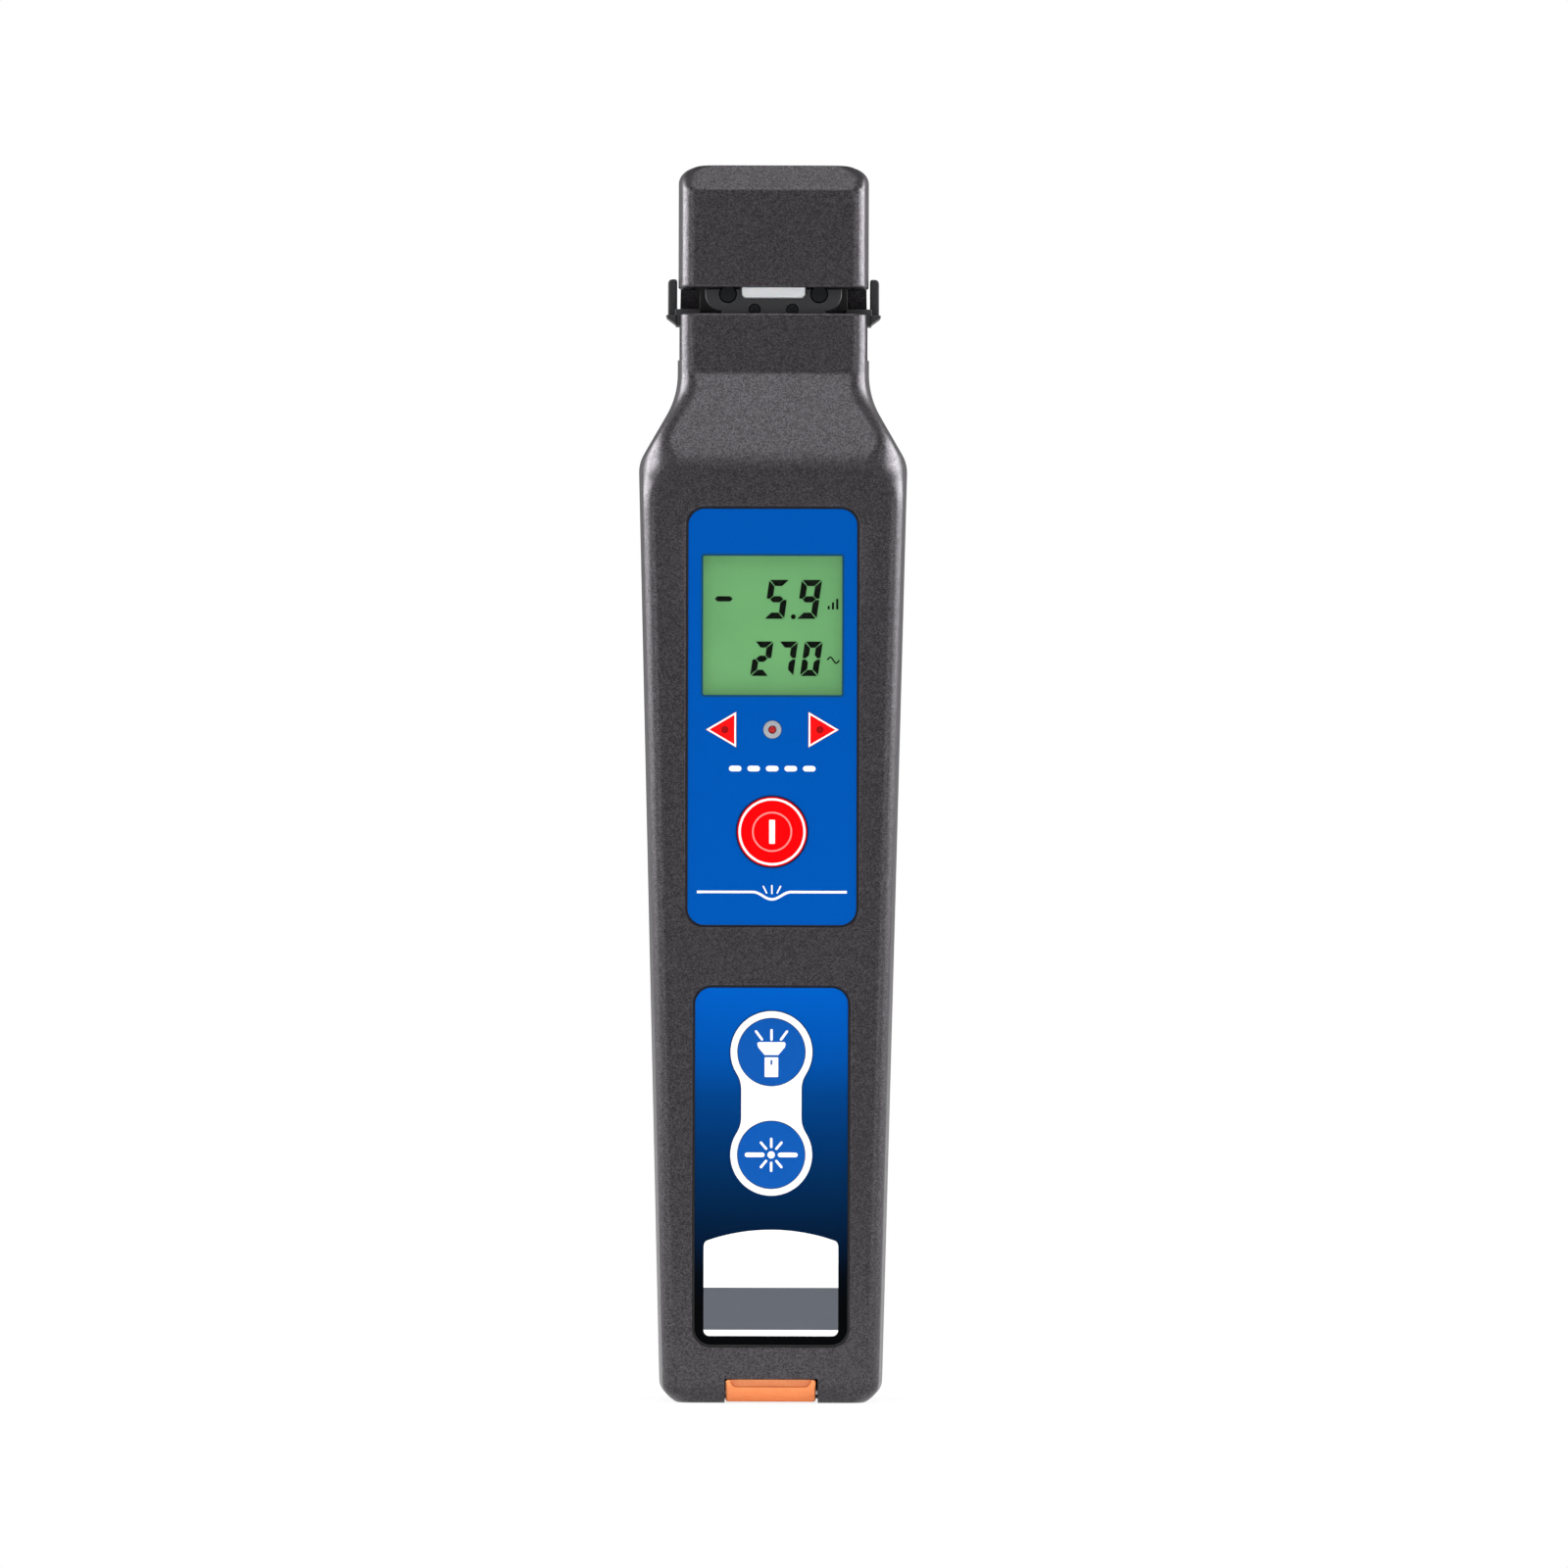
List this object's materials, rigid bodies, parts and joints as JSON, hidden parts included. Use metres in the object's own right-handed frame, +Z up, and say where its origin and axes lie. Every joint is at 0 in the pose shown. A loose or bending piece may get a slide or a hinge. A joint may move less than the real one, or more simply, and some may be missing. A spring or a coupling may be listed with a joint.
{
  "type": "optical fibre identifier",
  "caption": "Hand-held optical fibre identifier with a sprung clamp slot in its head, rear thumb trigger, display panel, keys and a covered fault locator port in its base.",
  "frame": {"origin": "centre of the flat base face that the instrument stands on", "axes": "+Z up along the body to the head, -Y out of the display side, +X to the right as the display is read"},
  "size_m": [0.0456, 0.0338, 0.21],
  "materials": {
    "casing": "moulded, dark metallic grey",
    "black_plastic": "fine texture",
    "steel": "plated",
    "dark_steel": "blackened",
    "brass": "turned",
    "cell_wrap": "printed film",
    "panel_blue": "printed film",
    "clear": "clear",
    "lcd_green": "satin",
    "white_plastic": "translucent",
    "red": "gloss",
    "bezel_grey": "gloss",
    "board_green": "solder mask",
    "film_amber": "polyimide",
    "orange": "moulded"
  },
  "bodies": {
    "casing": {"front_shell": "casing", "rear_shell": "casing", "head_front_cover": "casing", "casing_screws": "steel", "head_screws": "steel", "battery_tray": "black_plastic", "battery_left": "cell_wrap", "battery_right": "cell_wrap", "contact_plates": "steel", "contact_springs": "steel", "upper_panel": "panel_blue", "lower_panel": "panel_blue", "lcd_window": "clear", "lcd_panel": "lcd_green", "lcd_holder": "white_plastic", "backlight": "white_plastic", "arrow_lens_left": "red", "arrow_lens_right": "red", "arrow_leds": "white_plastic", "signal_bezel": "bezel_grey", "signal_led": "red", "key_switches": "black_plastic", "main_board": "board_green", "board_screws": "steel", "board_chips": "black_plastic", "buzzer": "black_plastic", "flex_cable": "film_amber", "flex_connector": "white_plastic", "port_housing": "black_plastic", "ferrule_sleeve": "steel", "laser_module": "brass", "torch_lens": "clear", "torch_led": "white_plastic", "torch_board": "board_green", "cover_pin": "steel", "guide_rods": "steel", "rod_bracket": "black_plastic", "bracket_screws": "steel", "return_springs": "steel", "anvil": "white_plastic", "anvil_holder": "black_plastic", "holder_screws": "steel", "photodetectors": "brass", "detector_board": "board_green", "detector_shield": "steel"},
    "carriage": {"clamp_carriage": "black_plastic", "fibre_cradle": "black_plastic", "front_cheek": "black_plastic", "cheek_screws": "dark_steel", "bend_pins": "dark_steel", "thumb_trigger": "black_plastic", "trigger_screws": "steel"},
    "power_key": {"power_key": "red"},
    "torch_key": {"torch_key": "panel_blue"},
    "locator_key": {"locator_key": "panel_blue"},
    "cover": {"port_cover": "orange"},
    "door": {"battery_door": "casing"}
  },
  "joints": [
    {"name": "clamp_slide", "type": "slide", "parent": "casing", "child": "carriage", "axis": [0, 0, -1], "range_m": [0, 0.0055], "stiffness_N_per_m": 400, "springref_m": -0.005, "deforming": ["return_springs"]},
    {"name": "power_key_press", "type": "slide", "parent": "casing", "child": "power_key", "axis": [0, 1, 0], "range_m": [0, 0.0003], "stiffness_N_per_m": 1500, "springref_m": -0.0003},
    {"name": "torch_key_press", "type": "slide", "parent": "casing", "child": "torch_key", "axis": [0, 1, 0], "range_m": [0, 0.0003], "stiffness_N_per_m": 1500, "springref_m": -0.0003},
    {"name": "locator_key_press", "type": "slide", "parent": "casing", "child": "locator_key", "axis": [0, 1, 0], "range_m": [0, 0.0003], "stiffness_N_per_m": 1500, "springref_m": -0.0003},
    {"name": "port_cover_swing", "type": "hinge", "parent": "casing", "child": "cover", "pos_m": [0, 0.0026, 0.0015], "axis": [1, 0, 0], "range_deg": [0, 100]},
    {"name": "battery_door_swing", "type": "hinge", "parent": "casing", "child": "door", "pos_m": [0, 0.016, 0.0248], "axis": [-1, 0, 0], "range_deg": [0, 75]}
  ]
}
